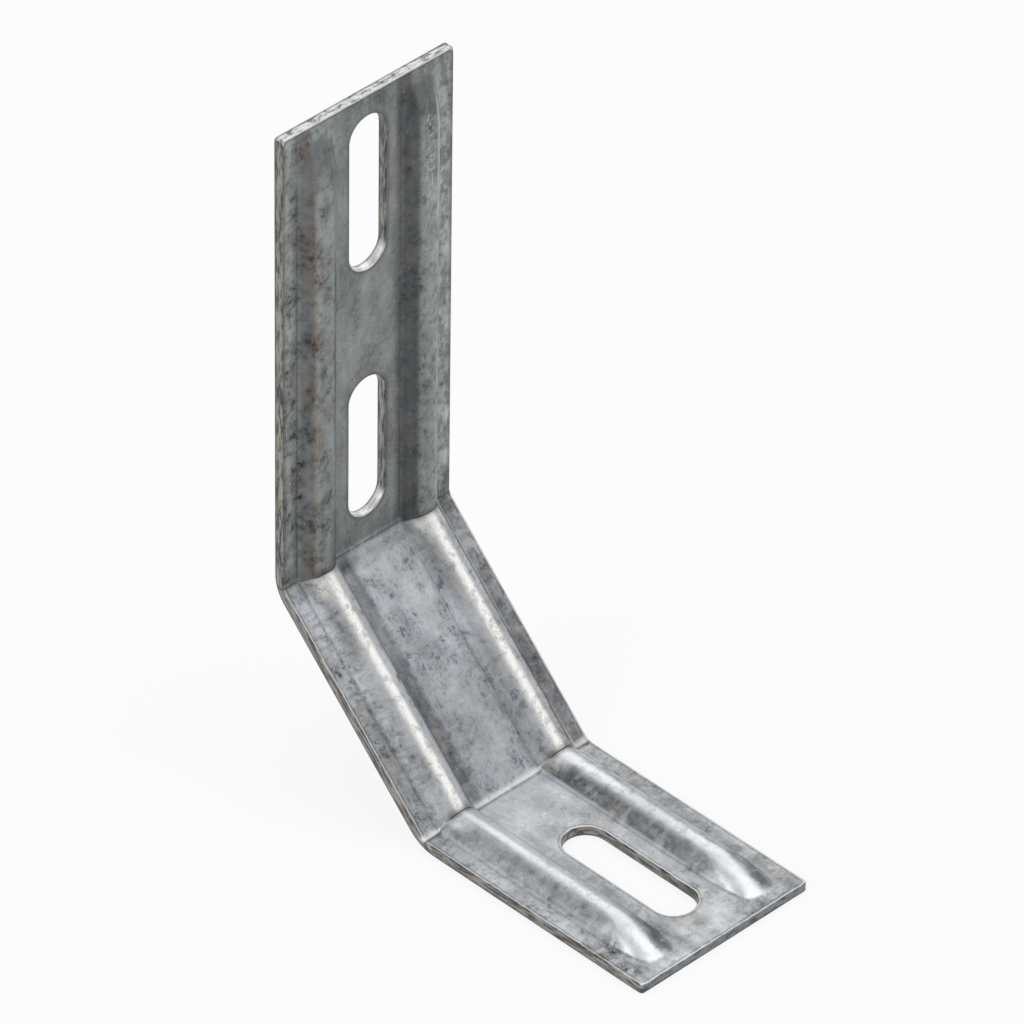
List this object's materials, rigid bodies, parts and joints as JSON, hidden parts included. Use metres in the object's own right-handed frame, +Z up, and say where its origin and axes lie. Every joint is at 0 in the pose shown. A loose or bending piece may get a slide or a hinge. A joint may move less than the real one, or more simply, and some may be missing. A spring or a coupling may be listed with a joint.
{
  "type": "cladding bracket",
  "caption": "Pressed steel strip bracket: slotted wall leg, sloping middle leg and slotted foot, stiffened by ribs that run through both bends.",
  "frame": {"origin": "centre of the upper wall slot, on the back face that lies on the wall", "axes": "+Z up the wall leg, +Y out of the back face into the wall, the foot points to -Y, X across the strip"},
  "size_m": [0.04, 0.0901, 0.1321],
  "materials": {
    "galvanised_steel": "galvanised, mottled grey with faint roll lines"
  },
  "bodies": {
    "root": {"bracket_strip": "galvanised_steel"}
  },
  "joints": []
}
